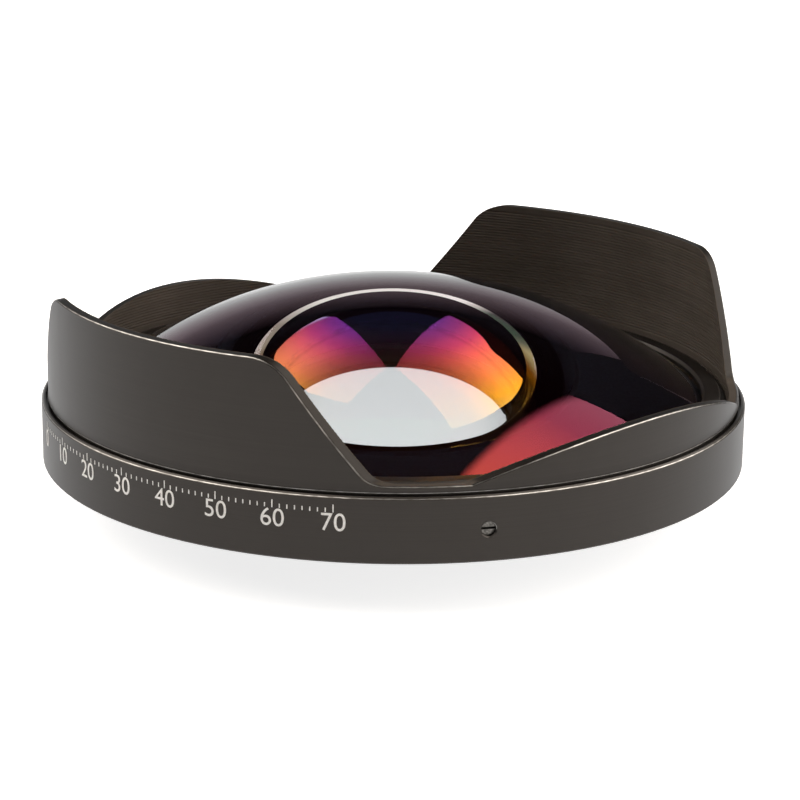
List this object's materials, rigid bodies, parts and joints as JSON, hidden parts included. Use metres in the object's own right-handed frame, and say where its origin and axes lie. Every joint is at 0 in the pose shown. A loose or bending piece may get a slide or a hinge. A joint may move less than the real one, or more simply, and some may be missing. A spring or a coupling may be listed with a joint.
{
  "type": "fisheye adapter lens",
  "caption": "Wide screw-on fisheye adapter lens with a domed front glass, a turning petal hood on a broad ring with grub screws, and a male mounting thread behind.",
  "frame": {"origin": "centre of the mounting thread's rear end, which is the face the lens stands on", "axes": "+Z along the optical axis towards the domed front glass; -Y through the middle of the low notch in the hood that is towards the viewer, with the tall petals at 45 and 225 degrees from +X"},
  "size_m": [0.105, 0.105, 0.0358],
  "materials": {
    "hood_metal": "satin black anodised",
    "barrel_metal": "matt black anodised",
    "mount_metal": "satin black anodised",
    "front_glass": "polished, with a coating that reflects purple, red and amber, and a blackened back rim",
    "rear_glass": "polished and coated",
    "gasket_rubber": "matt",
    "screw_steel": "blackened"
  },
  "bodies": {
    "barrel": {"main_barrel": "barrel_metal", "front_gasket": "gasket_rubber", "front_element": "front_glass", "front_retaining_ring": "barrel_metal", "rear_cell": "barrel_metal", "rear_element": "rear_glass", "rear_glass_ring": "barrel_metal", "mount_ring": "mount_metal"},
    "hood": {"petal_hood": "hood_metal", "outer_ring": "hood_metal"},
    "screw_1": {"grub_screw_1": "screw_steel"},
    "screw_2": {"grub_screw_2": "screw_steel"},
    "screw_3": {"grub_screw_3": "screw_steel"}
  },
  "joints": [
    {"name": "hood_turn", "type": "hinge", "parent": "barrel", "child": "hood", "pos_m": [0, 0, 0.0131], "axis": [0, 0, 1], "continuous": true},
    {"name": "screw_1_turn", "type": "hinge", "parent": "hood", "child": "screw_1", "pos_m": [0.01251, -0.04908, 0.0131], "axis": [0.247, -0.969, 0], "range_deg": [0, 270]},
    {"name": "screw_2_turn", "type": "hinge", "parent": "hood", "child": "screw_2", "pos_m": [0.03625, 0.03537, 0.0131], "axis": [0.7157, 0.6984, 0], "range_deg": [0, 270]},
    {"name": "screw_3_turn", "type": "hinge", "parent": "hood", "child": "screw_3", "pos_m": [-0.04876, 0.01371, 0.0131], "axis": [-0.9627, 0.2706, 0], "range_deg": [0, 270]}
  ]
}
